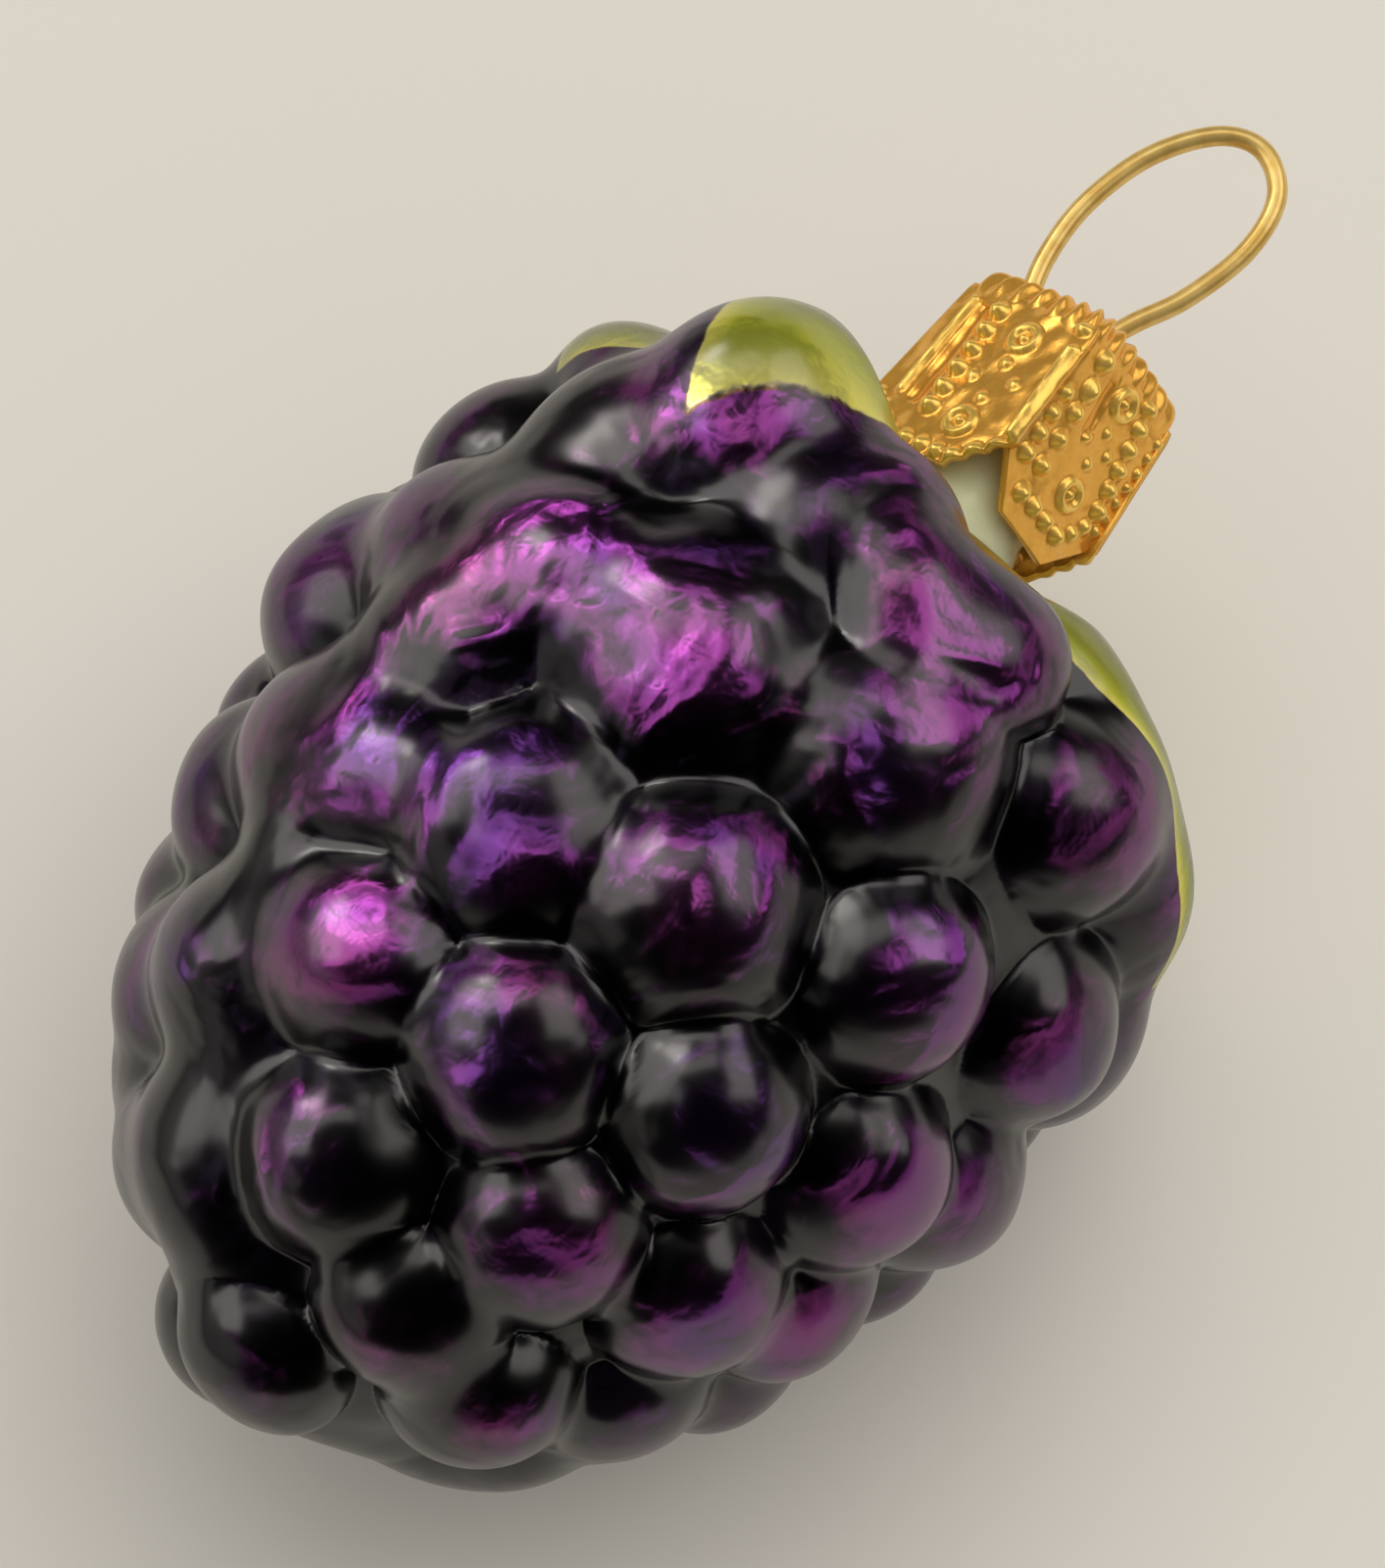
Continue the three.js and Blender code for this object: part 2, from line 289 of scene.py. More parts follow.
def glass_points():
    """The tip outside, rows up the outside and neck, rows down the inside, and the tip inside."""
    outside, angle = outside_grid()
    inside = np.linspace(radians(NECK_LATITUDE), 0, LINING_ROWS + 1)[:-1, None]
    rise = berry_relief(outside, angle)
    lining = berry_relief(inside, angle)
    tip_rise = berry_relief(np.zeros((1, 1)), np.zeros((1, 1)))
    neck = [turned(girth, height, angle) for girth, height in NECK_PROFILE]
    rows = np.concatenate([
        turned(*profile_point(outside, rise), angle),
        *[row.reshape(1, GLASS_COLUMNS, 3) for row in neck],
        turned(*profile_point(inside, lining - GLASS_WALL), angle),
    ])
    tip = profile_point(0, tip_rise[0, 0])[1]
    points = np.concatenate([[(0, tip, 0)], rows.reshape(-1, 3), [(0, tip + GLASS_WALL, 0)]])
    paint = np.full(len(points), BARE_NECK)
    cover = paint_depth(outside, angle)
    paint[:1 + cover.size] = np.concatenate([[UNPAINTED_TIP], cover.ravel()])
    # Painted shade for the lacquer, on the outside points only.
    painted_lacquer_shade = np.zeros(len(points))
    painted_lacquer_shade[1:1 + rise.size] = lacquer_painted_shade(outside, angle, rise).ravel()
    return points, paint, painted_lacquer_shade, len(rows)


def egg_normals(count):
    """Outward directions of the plain egg at the outside points, and none at the others."""
    outside, angle = outside_grid()
    outward = turned(*profile_point(outside, 1), angle) - turned(*profile_point(outside, 0), angle)
    normals = np.zeros((count, 3))
    normals[1:1 + outward[..., 0].size] = outward.reshape(-1, 3)
    return normals


points, paint, painted_lacquer_shade, row_count = glass_points()
laid = points @ lie.T / 1000
glass_low, glass_high = (np.array(corner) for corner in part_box("glass_body"))
tip_place = (glass_low + glass_high - laid.min(0) - laid.max(0)) / 2
tip_place[2] = glass_low[2] - laid[:, 2].min()
glass = mesh_piece("glass_berry", points, lathe_faces(row_count, GLASS_COLUMNS))
glass.data.attributes.new("paint", "FLOAT", "POINT").data.foreach_set("value", paint)
glass.data.attributes.new("painted_lacquer_shade", "FLOAT", "POINT").data.foreach_set("value", painted_lacquer_shade)

# The silvering lines the inside, where the blown glass keeps only part of the mould's relief, so what it
# mirrors follows a calmer surface than the gloss outside.
SILVER_RELIEF = 0.5
outer = np.empty(3 * len(points))
glass.data.vertex_normals.foreach_get("vector", outer)
calm = egg_normals(len(points)) @ lie.T
silver = SILVER_RELIEF * outer.reshape(-1, 3) + (1 - SILVER_RELIEF) * calm
glass.data.attributes.new("silver", "FLOAT_VECTOR", "POINT").data.foreach_set("vector", silver.ravel())


def colour(hexcode):
    """sRGB hex to linear colour."""
    channels = [int(hexcode[start:start + 2], 16) / 255 for start in (1, 3, 5)]
    return [c / 12.92 if c <= 0.04045 else ((c + 0.055) / 1.055) ** 2.4 for c in channels] + [1]


def add_node(tree, kind, settings=None, inputs=None):
    """Adds a node; an input that is another node's output is linked, and any other is set."""
    node = tree.nodes.new(kind)
    for name, value in (settings or {}).items():
        setattr(node, name, value)
    for name, value in (inputs or {}).items():
        if isinstance(value, bpy.types.NodeSocket):
            tree.links.new(value, node.inputs[name])
        else:
            node.inputs[name].default_value = value
    return node


def new_material(name):
    material = bpy.data.materials.new(name)
    material.use_nodes = True
    material.node_tree.nodes.clear()
    return material, material.node_tree


def set_ramp(node, stops):
    ramp = node.color_ramp
    while len(ramp.elements) < len(stops):
        ramp.elements.new(1)
    for element, (place, hexcode) in zip(ramp.elements, stops):
        element.position = place
        element.color = colour(hexcode)


# Silvered glass under transparent lacquer: a soft mirror deep in purple, clouded where the silvering and
# the lacquer are uneven, nearly black in patches where the lacquer pools unevenly and, as painted shade, in
# the creases, along the seam, towards the tip and on the shoulder, beneath a glossy clear outer skin. The
# sepals are painted green over it, yellower where the paint is thin at its lower edges, which also stands
# as a painted highlight, and the neck is bare pale glass.
VIOLET = "#623680"
PURPLE = "#833b8c"
ROSE = "#8a3f80"
POOL_AND_SHADE = "#100a16"
GREEN_DEEP = "#969a36"
GREEN_BRIGHT = "#c0c63e"
THIN_GREEN_AND_HIGHLIGHT = "#f6ee78"
FRINGE = "#7a5a2c"
SILVER = "#eceae6"
NECK_GLASS = "#f2f6dc"
PAINT_CLEAR = "#fbf8e4"
LACQUER_EDGE = "#000000"
CLOUD_SIZE = 7
FLOW_SIZE = 5
SILK_SIZE = 1
LACQUER_FLOW = 3
LACQUER_MOTTLE = 2
LACQUER_RANGE = (3.5, 5.3)
PAINT_STREAK = 2.5
PAINT_RANGE = (1, 7)
PAINT_RAG = 0.7
FRINGE_RANGE = (0.2, 0.4)
PAINT_EDGE = (0.35, 0.65)
BARE_RANGE = (12, 14)
PAINT_MIRROR = 0.6
PAINT_EVENNESS = 0.12
lacquer, tree = new_material("lacquered silvered glass")
place = add_node(tree, "ShaderNodeTexCoord").outputs["Object"]
cloud = add_node(tree, "ShaderNodeTexNoise", None, {
    "Vector": place, "Scale": 1000 / CLOUD_SIZE, "Detail": 2, "Roughness": 0.5, "Distortion": 0.5})
flow = add_node(tree, "ShaderNodeTexNoise", None, {
    "Vector": place, "Scale": 1000 / FLOW_SIZE, "Detail": 2, "Roughness": 0.42, "Distortion": 0.5})
silk = add_node(tree, "ShaderNodeTexNoise", None, {
    "Vector": place, "Scale": 1000 / SILK_SIZE, "Detail": 2, "Roughness": 0.5, "Distortion": 0.3})
purple = add_node(tree, "ShaderNodeValToRGB", None, {"Fac": cloud.outputs["Fac"]})
set_ramp(purple, [(0.36, VIOLET), (0.5, PURPLE), (0.72, ROSE)])
# Painted shade: the stored shade attribute, with flowing and silky noise, darkens the purple to nearly
# black in the creases, along the seam, towards the tip and on the shoulder.
painted_shade_here = add_node(tree, "ShaderNodeAttribute", {"attribute_name": "painted_lacquer_shade"})
shade_and_flow = add_node(tree, "ShaderNodeMath", {"operation": "MULTIPLY_ADD"}, {
    0: flow.outputs["Fac"], 1: LACQUER_FLOW, 2: painted_shade_here.outputs["Fac"]})
mottled = add_node(tree, "ShaderNodeMath", {"operation": "MULTIPLY_ADD"}, {
    0: silk.outputs["Fac"], 1: LACQUER_MOTTLE, 2: shade_and_flow.outputs["Value"]})
thin_and_unshaded = add_node(tree, "ShaderNodeMapRange", {"interpolation_type": "SMOOTHSTEP"}, {
    "Value": mottled.outputs["Value"], "From Min": LACQUER_RANGE[0], "From Max": LACQUER_RANGE[1]})
pooled_and_shaded = add_node(tree, "ShaderNodeMix", {"data_type": "RGBA"}, {
    "Factor": thin_and_unshaded.outputs["Result"], "A": colour(POOL_AND_SHADE), "B": purple.outputs["Color"]})
paint_here = add_node(tree, "ShaderNodeAttribute", {"attribute_name": "paint"})
streaked = add_node(tree, "ShaderNodeMath", {"operation": "MULTIPLY_ADD"}, {
    0: flow.outputs["Fac"], 1: PAINT_STREAK, 2: paint_here.outputs["Fac"]})
thickness = add_node(tree, "ShaderNodeMapRange", None, {
    "Value": streaked.outputs["Value"], "From Min": PAINT_RANGE[0], "From Max": PAINT_RANGE[1]})
# The thinnest paint, at the paint's lower edges, is a pale yellow that is partly its own colour and partly
# a painted highlight.
green = add_node(tree, "ShaderNodeValToRGB", None, {"Fac": thickness.outputs["Result"]})
set_ramp(green, [(0.1, THIN_GREEN_AND_HIGHLIGHT), (0.4, GREEN_BRIGHT), (0.9, GREEN_DEEP)])
ragged = add_node(tree, "ShaderNodeMath", {"operation": "MULTIPLY_ADD"}, {
    0: silk.outputs["Fac"], 1: PAINT_RAG, 2: paint_here.outputs["Fac"]})
fringed = add_node(tree, "ShaderNodeMapRange", {"interpolation_type": "SMOOTHSTEP"}, {
    "Value": ragged.outputs["Value"], "From Min": FRINGE_RANGE[0], "From Max": FRINGE_RANGE[1]})
painted = add_node(tree, "ShaderNodeMapRange", {"interpolation_type": "SMOOTHSTEP"}, {
    "Value": ragged.outputs["Value"], "From Min": PAINT_EDGE[0], "From Max": PAINT_EDGE[1]})
fringe = add_node(tree, "ShaderNodeMix", {"data_type": "RGBA"}, {
    "Factor": fringed.outputs["Result"], "A": pooled_and_shaded.outputs["Result"], "B": colour(FRINGE)})
tint = add_node(tree, "ShaderNodeMix", {"data_type": "RGBA"}, {
    "Factor": painted.outputs["Result"], "A": fringe.outputs["Result"], "B": colour(PAINT_CLEAR)})
bare = add_node(tree, "ShaderNodeMapRange", None, {
    "Value": paint_here.outputs["Fac"], "From Min": BARE_RANGE[0], "From Max": BARE_RANGE[1]})
paint_or_bare = add_node(tree, "ShaderNodeMix", {"data_type": "RGBA"}, {
    "Factor": bare.outputs["Result"], "A": green.outputs["Color"], "B": colour(NECK_GLASS)})
ground = add_node(tree, "ShaderNodeMix", {"data_type": "RGBA"}, {
    "Factor": painted.outputs["Result"], "A": colour(SILVER), "B": paint_or_bare.outputs["Result"]})
mirror = add_node(tree, "ShaderNodeMapRange", None, {
    "Value": painted.outputs["Result"], "To Min": 1, "To Max": PAINT_MIRROR})
metallic = add_node(tree, "ShaderNodeMapRange", None, {
    "Value": bare.outputs["Result"], "To Min": mirror.outputs["Result"], "To Max": 0})
silver_here = add_node(tree, "ShaderNodeAttribute", {"attribute_name": "silver"})
unit = add_node(tree, "ShaderNodeVectorMath", {"operation": "NORMALIZE"}, {
    0: silver_here.outputs["Vector"]})
silky = add_node(tree, "ShaderNodeBump", None, {
    "Strength": 0.3, "Distance": 0.0003, "Height": silk.outputs["Fac"], "Normal": unit.outputs["Vector"]})
evened = add_node(tree, "ShaderNodeMapRange", None, {
    "Value": painted.outputs["Result"], "To Min": 1, "To Max": PAINT_EVENNESS})
flowing = add_node(tree, "ShaderNodeBump", None, {
    "Strength": evened.outputs["Result"], "Distance": 0.0018,
    "Height": flow.outputs["Fac"], "Normal": silky.outputs["Normal"]})
rippled = add_node(tree, "ShaderNodeBump", None, {
    "Strength": 0.5, "Distance": 0.0008, "Height": flow.outputs["Fac"]})
skin = add_node(tree, "ShaderNodeBsdfPrincipled", None, {
    "Base Color": ground.outputs["Result"], "Metallic": metallic.outputs["Result"], "Roughness": 0.27,
    "Specular Tint": colour(LACQUER_EDGE),
    "Coat Weight": 1, "Coat Tint": tint.outputs["Result"], "Coat Roughness": 0.24, "Coat IOR": 1.6,
    "Normal": flowing.outputs["Normal"], "Coat Normal": rippled.outputs["Normal"]})
add_node(tree, "ShaderNodeOutputMaterial", None, {"Surface": skin.outputs["BSDF"]})
glass.data.materials.append(lacquer)
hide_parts("glass_body")
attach(glass, "root")


# Cap
# Thin gold-coloured sheet, stamped with beads and ring bosses and drawn up to a scalloped square crown.
# Its four flaps are folded down round the neck of the glass, two of them over the other two, and two
# holes in the crown let the hanging wire through.
CAP_SIDE = 7.5
CAP_PLATE_SIDE = 5
CAP_TOP = 58.1
CAP_FOLD = 56.6
SHEET = 0.35
CROWN_COLUMNS = 336
CROWN_SQUARENESS = 9
LOBES = 7
LOBE_RISE = 0.26
SKIRT = 0.4
LOOP_ANGLE = 78
WIRE_HOLE = 1.9
HOLE_SIDES = 32
HOLE_REACH = 2
PLATE_ROWS = (0.1, 0.3, 0.5, 0.7, 0.85, 0.95)
SHOULDER_ROWS = 17
WIRE_HOLES = [(-2.95, 57.9), (0.5, 57.9)]


def crown_row(half, height, lobes, turn):
    """A row round the crown: a square with rounded corners, swelling out at each lobe."""
    reach = (np.abs(np.cos(turn)) ** CROWN_SQUARENESS + np.abs(np.sin(turn)) ** CROWN_SQUARENESS)
    quarter = np.mod(turn + np.pi / 4, np.pi / 2) - np.pi / 4
    rise = LOBE_RISE * lobes * (0.5 + 0.5 * np.cos(np.pi * LOBES * np.tan(quarter)))
    girth = half * reach ** (-1 / CROWN_SQUARENESS) + rise
    return turned(girth, height + rise, turn + np.pi / 4)


def crown_points():
    """The plate and the rounded shoulder down to the skirt outside, then the same inside."""
    turn = np.linspace(0, 2 * np.pi, CROWN_COLUMNS, endpoint=False)
    rows = []
    for inset in (0, SHEET):
        face = [(share * CAP_PLATE_SIDE / 2, CAP_TOP - inset, 0) for share in PLATE_ROWS]
        for slope in np.linspace(np.pi / 2, 0, SHOULDER_ROWS):
            half = CAP_PLATE_SIDE / 2 + (CAP_SIDE / 2 - inset - CAP_PLATE_SIDE / 2) * cos(slope)
            face.append((half, CAP_FOLD + (CAP_TOP - inset - CAP_FOLD) * sin(slope), sin(2 * slope)))
        face.append((CAP_SIDE / 2 - inset, CAP_FOLD - SKIRT, 0))
        rows += face[::-1] if inset else face
    grid = [crown_row(half, height, lobes, turn) for half, height, lobes in rows]
    ends = [[(0, CAP_TOP, 0)], [(0, CAP_TOP - SHEET, 0)]]
    return np.concatenate([ends[0], *grid, ends[1]]), len(rows)


crown_grid, crown_rows = crown_points()
crown = mesh_piece("cap_crown", crown_grid, lathe_faces(crown_rows, CROWN_COLUMNS))
for across, height in WIRE_HOLES:
    circle = np.linspace(0, 2 * np.pi, HOLE_SIDES, endpoint=False)
    middle = turned(across, height, radians(LOOP_ANGLE))
    ring = WIRE_HOLE / 2 * np.stack([np.sin(circle), 0 * circle, np.cos(circle)], -1)
    low, high = middle - (0, HOLE_REACH, 0), middle + (0, HOLE_REACH, 0)
    punch_points = np.concatenate([[low], low + ring, high + ring, [high]])
    punch = mesh_piece("punch", punch_points, lathe_faces(2, HOLE_SIDES))
    cut = crown.modifiers.new("wire_hole", "BOOLEAN")
    cut.object = punch
    cut.operation = "DIFFERENCE"
    cut.solver = "EXACT"
    bpy.context.view_layer.objects.active = crown
    bpy.ops.object.modifier_apply(modifier=cut.name)
    bpy.data.objects.remove(punch)

# Each flap's outline, and what is stamped in it: rows of beads from one point to another, with their
# number, half width, half length and rise, ridges with their half width and rise, and ring bosses. A groove
# is a ridge with a rise below zero. Points are across and down the flap.
FLAP_SIDE_LENGTH = 5.6
FLAP_LENGTH = 7.8
FLAP_END_WIDTH = 3.6
FLAP_START = -0.5
FLAP_START_INSET = 0.1
FLAP_STANDOFF = 0.05
FLAP_BOW = 0.012
FLAP_STEPS = 110
BACK_RELIEF = 0.7
BEAD_POINT = 1.2
RING_RADIUS = 0.58
RING_WIDTH = 0.27
RING_RISE = 0.25
OUTER_FLAP = {
    "angles": [-45, 135], "splay": 3, "top": 7.5, "low": 8.4,
    "beads": [
        ((-1.2, 0.5), (-0.75, 5.6), 6, 0.54, 0.52, 0.5),
        ((3.1, -0.15), (3.2, 0.1), 1, 0.5, 0.42, 0.36),
        ((3.55, 6.2), (2, 7.3), 3, 0.5, 0.5, 0.36),
        ((1.2, 7.35), (-1.6, 7.35), 4, 0.46, 0.48, 0.34),
        ((-2.3, 6.9), (-3.7, 5.9), 3, 0.48, 0.48, 0.34),
        ((1.05, 2.6), (2.1, 3.3), 2, 0.34, 0.34, 0.2),
        ((0, 3.6), (1.2, 4.4), 2, 0.36, 0.36, 0.22),
    ],
    "ridges": [
        ((3.4, 1), (3.85, 5.4), 0.4, 0.4),
        ((-2.85, 0.3), (-2.8, 5.3), 0.26, 0.24),
        ((-2.05, 0.2), (-1.85, 5.4), 0.42, -0.12),
    ],
    "rings": [(0.95, 1.25), (1.15, 5.75)],
}
INNER_FLAP = {
    "angles": [45, -135], "splay": 1.5, "top": 7.2, "low": 7.6,
    "beads": [
        ((-2.25, 0.2), (-1.95, 1.5), 2, 0.52, 0.64, 0.5),
        ((-1.85, 2.6), (-1.6, 5.2), 3, 0.5, 0.5, 0.44),
        ((-3, 2.4), (-2.7, 5.4), 4, 0.5, 0.48, 0.44),
        ((1.5, -0.2), (2.7, 4.3), 6, 0.52, 0.5, 0.48),
        ((-1.6, 6.6), (1.5, 6.5), 4, 0.5, 0.5, 0.44),
        ((2.2, 5.9), (2.6, 5.2), 2, 0.44, 0.44, 0.34),
        ((3.3, 0.3), (3.4, 4.9), 7, 0.3, 0.34, 0.22),
        ((0.4, 2), (1.2, 2.6), 2, 0.34, 0.34, 0.2),
        ((-0.5, 2.8), (0.5, 3.5), 2, 0.36, 0.34, 0.22),
    ],
    "ridges": [((-1.15, 0.2), (-0.75, 2.6), 0.34, -0.1)],
    "rings": [(0.15, 0.6), (0.7, 4.95)],
}


def stamped_rise(flap, across, down):
    rise = np.zeros(across.shape)
    for start, end, half_width, lift in flap["ridges"]:
        share = np.clip((down - start[1]) / (end[1] - start[1]), 0, 1)
        away = (across - start[0] - share * (end[0] - start[0])) / half_width
        beyond = (down - start[1] - share * (end[1] - start[1])) / half_width
        rise += lift * np.clip(1 - away**2 - beyond**2, 0, 1)
    for start, end, count, half_width, half_length, lift in flap["beads"]:
        way = np.subtract(end, start) / np.hypot(*np.subtract(end, start))
        for middle in np.linspace(start, end, count):
            along = (across - middle[0]) * way[0] + (down - middle[1]) * way[1]
            aside = (across - middle[0]) * way[1] - (down - middle[1]) * way[0]
            bead = np.clip(1 - (along / half_length) ** 2 - (aside / half_width) ** 2, 0, 1)
            rise += lift * bead**BEAD_POINT
    for middle in flap["rings"]:
        away = np.hypot(across - middle[0], down - middle[1])
        rise += RING_RISE * np.clip(1 - ((away - RING_RADIUS) / RING_WIDTH) ** 2, 0, 1)
        rise += RING_RISE * np.clip(1 - (away / RING_WIDTH) ** 2, 0, 1)
    return rise


def flap_points(flap, angle):
    """Front and back of one flap, from its start on the crown down to its end."""
    down = np.linspace(FLAP_START, FLAP_LENGTH, FLAP_STEPS)[:, None]
    stops = [FLAP_START, 0, FLAP_SIDE_LENGTH, FLAP_LENGTH]
    widths = [flap["top"] - 2 * FLAP_START_INSET, flap["top"], flap["low"], FLAP_END_WIDTH]
    across = np.interp(down, stops, widths) / 2 * np.linspace(-1, 1, FLAP_STEPS)[None, :]
    splay = radians(flap["splay"])
    slope = np.maximum(-down, 0) / (CAP_TOP - CAP_FOLD)
    out = np.where(down < 0, CAP_SIDE / 2 - (CAP_SIDE - CAP_PLATE_SIDE) / 2 * (1 - np.cos(slope)),
                   CAP_SIDE / 2 + np.sin(splay) * down)
    height = CAP_FOLD + np.where(down < 0, (CAP_TOP - CAP_FOLD) * np.sin(slope), -np.cos(splay) * down)
    rise = stamped_rise(flap, across, down + 0 * across)
    sides = []
    for lift in (FLAP_STANDOFF + rise, FLAP_STANDOFF + BACK_RELIEF * rise - SHEET):
        outward = out + lift - FLAP_BOW * across**2
        turn = radians(angle)
        sides.append(np.stack([
            across * cos(turn) + outward * sin(turn), height + 0 * across,
            outward * cos(turn) - across * sin(turn)], -1).reshape(-1, 3))
    return np.concatenate(sides), rise.ravel()


def sheet_faces(steps):
    """Quads of a square sheet with a front, a back and a rim that joins them."""
    index = np.arange(steps * steps).reshape(steps, steps)
    front = np.stack([index[:-1, :-1], index[:-1, 1:], index[1:, 1:], index[1:, :-1]], -1).reshape(-1, 4)
    rim = np.concatenate([index[0, :-1], index[:-1, -1], index[-1, :0:-1], index[:0:-1, 0]])
    edge = np.stack([rim, np.roll(rim, -1), np.roll(rim, -1) + index.size, rim + index.size], -1)
    return front.tolist() + (front[:, ::-1] + index.size).tolist() + edge.tolist()


flaps = []
for flap in (OUTER_FLAP, INNER_FLAP):
    for angle in flap["angles"]:
        flap_grid, rise = flap_points(flap, angle)
        piece = mesh_piece(f"cap_flap_{len(flaps) + 1}", flap_grid, sheet_faces(FLAP_STEPS))
        stamp = np.concatenate([rise, np.zeros(rise.size)])
        piece.data.attributes.new("stamp", "FLOAT", "POINT").data.foreach_set("value", stamp)
        flaps.append(piece)

# Gold-coloured sheet: brighter on the stamped beads as a painted highlight and deeper in the hollows as
# painted shade, with the shallow dents and fine orange-peel grain of thin plated metal.
GOLD_BRIGHT_AND_HIGHLIGHT = "#ffd062"
GOLD_DULL_AND_SHADE = "#f0a83c"
GRAIN = 0.25
DENT = 1.8
gold, tree = new_material("gold-plated stamped sheet")
place = add_node(tree, "ShaderNodeTexCoord").outputs["Object"]
grain = add_node(tree, "ShaderNodeTexNoise", None, {
    "Vector": place, "Scale": 1000 / GRAIN, "Detail": 3, "Roughness": 0.6})
stamp_here = add_node(tree, "ShaderNodeAttribute", {"attribute_name": "stamp"})
# Painted highlight and shade: the colour follows the stamped rise, bright on the beads and deep in the
# grooves, mottled by the grain.
grain_and_bead_highlight = add_node(tree, "ShaderNodeMath", {"operation": "MULTIPLY_ADD"}, {
    0: grain.outputs["Fac"], 1: 0.25, 2: stamp_here.outputs["Fac"]})
tone = add_node(tree, "ShaderNodeValToRGB", None, {"Fac": grain_and_bead_highlight.outputs["Value"]})
set_ramp(tone, [(0.05, GOLD_DULL_AND_SHADE), (0.3, GOLD_BRIGHT_AND_HIGHLIGHT)])
dents = add_node(tree, "ShaderNodeTexNoise", None, {
    "Vector": place, "Scale": 1000 / DENT, "Detail": 1, "Roughness": 0.5})
dented = add_node(tree, "ShaderNodeBump", None, {
    "Strength": 0.6, "Distance": 0.0006, "Height": dents.outputs["Fac"]})
uneven = add_node(tree, "ShaderNodeBump", None, {
    "Strength": 0.12, "Distance": 0.0001,
    "Height": grain.outputs["Fac"], "Normal": dented.outputs["Normal"]})
sheet = add_node(tree, "ShaderNodeBsdfPrincipled", None, {
    "Base Color": tone.outputs["Color"], "Metallic": 0.55, "Roughness": 0.26,
    "Normal": uneven.outputs["Normal"]})
add_node(tree, "ShaderNodeOutputMaterial", None, {"Surface": sheet.outputs["BSDF"]})
for piece in [crown, *flaps]:
    piece.data.materials.append(gold)
    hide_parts("cap")
    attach(piece, "root")


# Hanger
# One length of drawn brass-coloured spring wire, bent to a leaning loop above the cap. Its two legs go
# down through the crown and spring apart inside the glass, which holds the cap on.
WIRE = 0.86
WIRE_SIDES = 24
WIRE_STEPS = 12
WIRE_ROUTE = [
    (-6.5, 37.5), (-4.5, 42), (-2.4, 46), (-1.6, 49), (-1.6, 52.4), (-1.9, 55), WIRE_HOLES[0],
    (-3.55, 60.2), (-3.6, 63), (-2.75, 66.2), (-1, 68.65), (0.9, 69.25), (2.6, 67.9), (3, 65.2),
    (2.2, 62), (1.05, 59.7), WIRE_HOLES[1], (0.8, 55), (1.5, 52), (1.65, 49), (2.4, 46), (4.5, 42),
    (6.5, 37.5),
]


def wire_line():
    """Points along a smooth curve through the route, as across and height."""
    route = np.array(WIRE_ROUTE, float)
    route = np.concatenate([[2 * route[0] - route[1]], route, [2 * route[-1] - route[-2]]])
    line = []
    for before, start, end, after in zip(route, route[1:], route[2:], route[3:]):
        for share in np.arange(WIRE_STEPS) / WIRE_STEPS:
            line.append(0.5 * (2 * start + (end - before) * share
                               + (2 * before - 5 * start + 4 * end - after) * share**2
                               + (3 * start - before - 3 * end + after) * share**3))
    return np.array(line + [route[-2]])


line = wire_line()
heading = np.gradient(line, axis=0)
heading /= np.linalg.norm(heading, axis=1)[:, None]
round_wire = np.linspace(0, 2 * np.pi, WIRE_SIDES, endpoint=False)
aside = np.cos(round_wire)[None, :, None] * np.stack([-heading[:, 1], heading[:, 0]], -1)[:, None, :]
in_plane = line[:, None, :] + WIRE / 2 * aside
loop_turn = radians(LOOP_ANGLE)
off_plane = WIRE / 2 * np.sin(round_wire)[None, :, None] * np.array([cos(loop_turn), 0, -sin(loop_turn)])
tube = turned(in_plane[..., 0], in_plane[..., 1], np.full(in_plane.shape[:2], loop_turn)) + off_plane
ends = [turned(*line[end], np.array([loop_turn])) for end in (0, -1)]
wire = mesh_piece("hanging_wire", np.concatenate([ends[0], tube.reshape(-1, 3), ends[1]]),
                  lathe_faces(len(line), WIRE_SIDES))

# Drawn wire: bright brass, clouded here and there where it has dulled.
BRASS = "#f0cc78"
BRASS_DULL = "#d8ac54"
TARNISH = 1.2
brass, tree = new_material("drawn brass wire")
place = add_node(tree, "ShaderNodeTexCoord").outputs["Object"]
tarnish = add_node(tree, "ShaderNodeTexNoise", None, {
    "Vector": place, "Scale": 1000 / TARNISH, "Detail": 3, "Roughness": 0.6})
tone = add_node(tree, "ShaderNodeValToRGB", None, {"Fac": tarnish.outputs["Fac"]})
set_ramp(tone, [(0.3, BRASS_DULL), (0.6, BRASS)])
metal = add_node(tree, "ShaderNodeBsdfPrincipled", None, {
    "Base Color": tone.outputs["Color"], "Metallic": 0.55, "Roughness": 0.34})
add_node(tree, "ShaderNodeOutputMaterial", None, {"Surface": metal.outputs["BSDF"]})
wire.data.materials.append(brass)
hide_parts("hanger")
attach(wire, "root")


# Desk top
# A plain pale matt board that the ornament lies on.
FLOOR_SIZE = 3000
FLOOR_COLOUR = "#efe8db"
bpy.ops.mesh.primitive_plane_add(size=FLOOR_SIZE / 1000)
floor = bpy.context.object
floor.name = "desk_top"
board, tree = new_material("painted board")
surface = add_node(tree, "ShaderNodeBsdfPrincipled", None, {
    "Base Color": colour(FLOOR_COLOUR), "Roughness": 0.7})
add_node(tree, "ShaderNodeOutputMaterial", None, {"Surface": surface.outputs["BSDF"]})
floor.data.materials.append(board)


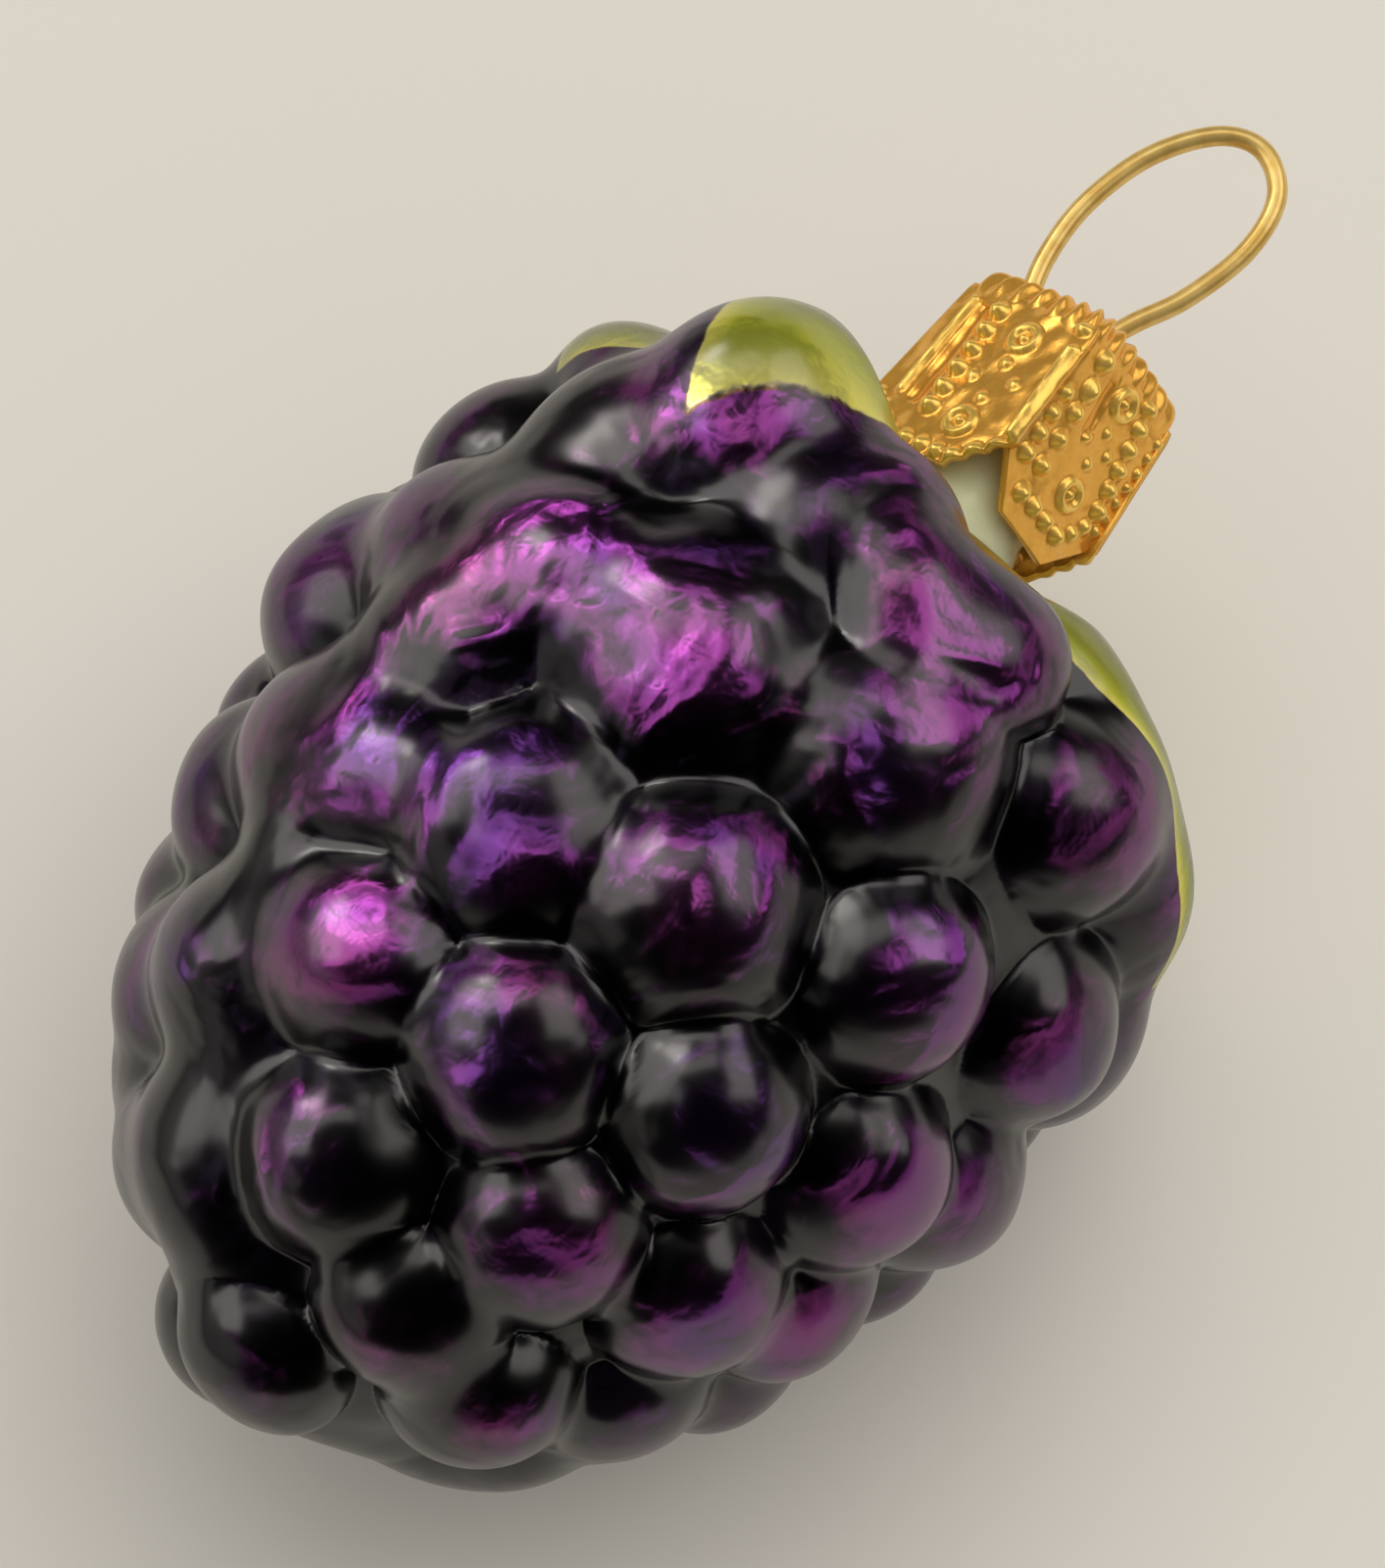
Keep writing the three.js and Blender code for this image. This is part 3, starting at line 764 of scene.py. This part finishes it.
# Light
# Soft cards, which only the glossy surfaces mirror, stand round the ornament in place of the windows, walls
# and lamp of a room. One broad lamp and an even grey sky light everything else.
CARD_COLOUR = "#fffaf4"
CARD_DISTANCE = 1000
ROOM_COLOUR = "#ffffff"
ROOM_DISTANCE = 1500
SKY_COLOUR = "#b4b4b4"


def direction(azimuth, elevation):
    turn, rise = radians(azimuth), radians(elevation)
    return Vector((sin(turn) * cos(rise), -cos(turn) * cos(rise), sin(rise)))


def soft_light(name, azimuth, elevation, distance, size, brightness, hexcode):
    lamp = bpy.data.lights.new(name, "AREA")
    lamp.shape = "RECTANGLE"
    lamp.size, lamp.size_y = (side / 1000 for side in size)
    lamp.energy = brightness * np.pi * lamp.size * lamp.size_y
    lamp.color = colour(hexcode)[:3]
    holder = bpy.data.objects.new(name, lamp)
    bpy.context.collection.objects.link(holder)
    way = direction(azimuth, elevation)
    holder.location = way * distance / 1000
    holder.rotation_euler = way.to_track_quat("Z", "Y").to_euler()
    holder.visible_camera = False
    return holder


for name, azimuth, elevation, size, brightness in (
        ("right_window", 55, 42, (900, 600), 1.8),
        ("ceiling", 140, 66, (800, 380), 1.6),
        ("left_card", 198, 44, (1000, 650), 2.1),
        ("left_wall", 225, 18, (1400, 400), 0.4),
        ("lamp", 162, 39, (300, 200), 7)):
    card = soft_light(name, azimuth, elevation, CARD_DISTANCE, size, brightness, CARD_COLOUR)
    card.visible_diffuse = False
room = soft_light("room", 85, 62, ROOM_DISTANCE, (1900, 1900), 1.2, ROOM_COLOUR)
room.visible_glossy = False
world = bpy.data.worlds.new("room")
bpy.context.scene.world = world
world.use_nodes = True
world.node_tree.nodes["Background"].inputs["Color"].default_value = colour(SKY_COLOUR)
world.cycles_visibility.glossy = False
bpy.context.scene.view_settings.view_transform = "Standard"


# Camera
# It looks down on the ornament from beyond its tip.
CAMERA_AZIMUTH = -44.188
CAMERA_ELEVATION = 69.384
CAMERA_ROLL = -9.289
CAMERA_DISTANCE = 240
CAMERA_AIM = (-2.868, 1.096, 21.049)
SENSOR = 36
FOCAL_LENGTH = 137.7
camera = bpy.data.cameras.new("camera")
camera.sensor_width = SENSOR
camera.lens = FOCAL_LENGTH
camera.clip_start = 0.01
holder = bpy.data.objects.new("camera", camera)
bpy.context.collection.objects.link(holder)
back = direction(CAMERA_AZIMUTH, CAMERA_ELEVATION)
stance = back.to_track_quat("Z", "Y").to_matrix() @ Matrix.Rotation(radians(CAMERA_ROLL), 3, "Z")
holder.matrix_world = Matrix.LocRotScale((Vector(CAMERA_AIM) + back * CAMERA_DISTANCE) / 1000, stance, None)
bpy.context.scene.camera = holder
